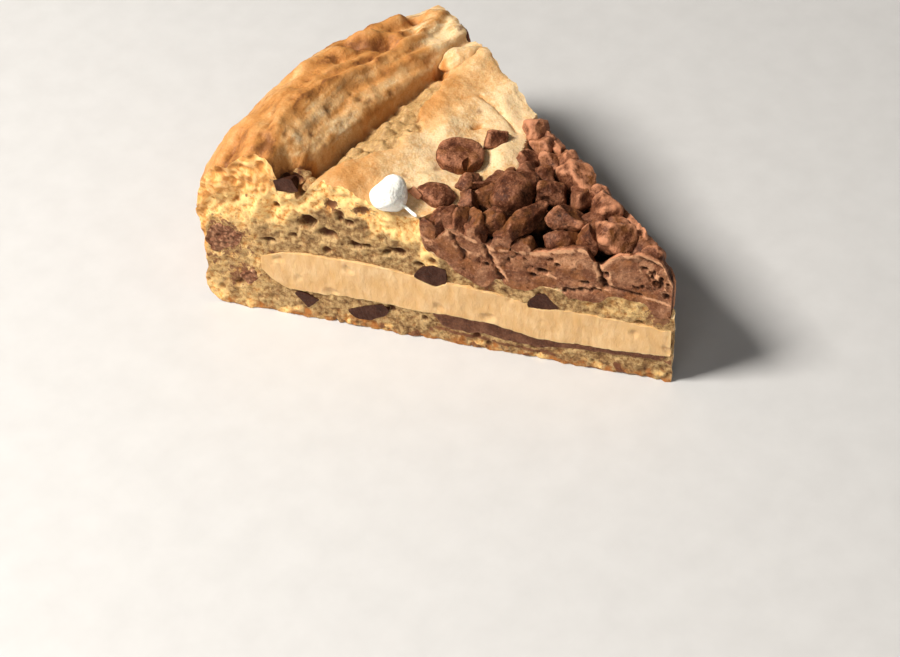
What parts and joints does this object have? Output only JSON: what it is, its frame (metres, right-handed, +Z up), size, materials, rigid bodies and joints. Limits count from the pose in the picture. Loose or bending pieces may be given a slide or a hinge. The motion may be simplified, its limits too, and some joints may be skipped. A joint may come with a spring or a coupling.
{
  "type": "stuffed cookie cake slice",
  "caption": "Wedge of stuffed cookie cake: thick cookie dough shell with a folded rim, a level cream filling, a chocolate band and a heap of milk chocolate chunks on top.",
  "frame": {"origin": "on the surface that the slice stands on, at the middle of the slice's bounding box seen from above", "axes": "+Z up; the slice's middle line runs along Y, with the tip at -Y and the rim at +Y; the near cut faces -X and the far cut +X"},
  "size_m": [0.0833, 0.1117, 0.0488],
  "materials": {
    "cookie_dough": "baked cookie dough, golden tan outside and olive tan crumb at the cuts",
    "cream": "smooth pale caramel cream, soft sheen",
    "milk_chocolate": "milk chocolate, matte and grainy",
    "dark_chocolate": "dark chocolate, cut face, soft sheen",
    "white_chocolate": "white chocolate, soft gloss"
  },
  "bodies": {
    "root": {"cookie": "cookie_dough", "cream_filling": "cream", "chocolate_band": "milk_chocolate", "chocolate_heap": "milk_chocolate", "milk_chip_round": "milk_chocolate", "milk_chip_low": "milk_chocolate", "milk_chip_block": "milk_chocolate", "milk_chip_flat": "milk_chocolate", "white_chip": "white_chocolate", "dark_chip_near_1": "dark_chocolate", "dark_chip_near_2": "dark_chocolate", "dark_chip_near_3": "dark_chocolate", "dark_chip_near_4": "dark_chocolate", "dark_chip_near_5": "dark_chocolate", "milk_chip_near_1": "milk_chocolate", "milk_chip_near_2": "milk_chocolate", "dark_chip_far_1": "dark_chocolate", "dark_chip_far_2": "dark_chocolate", "dark_chip_far_3": "dark_chocolate", "dark_chip_far_4": "dark_chocolate", "dark_chip_far_5": "dark_chocolate", "milk_chip_far_1": "milk_chocolate", "milk_chip_far_2": "milk_chocolate"}
  },
  "joints": []
}
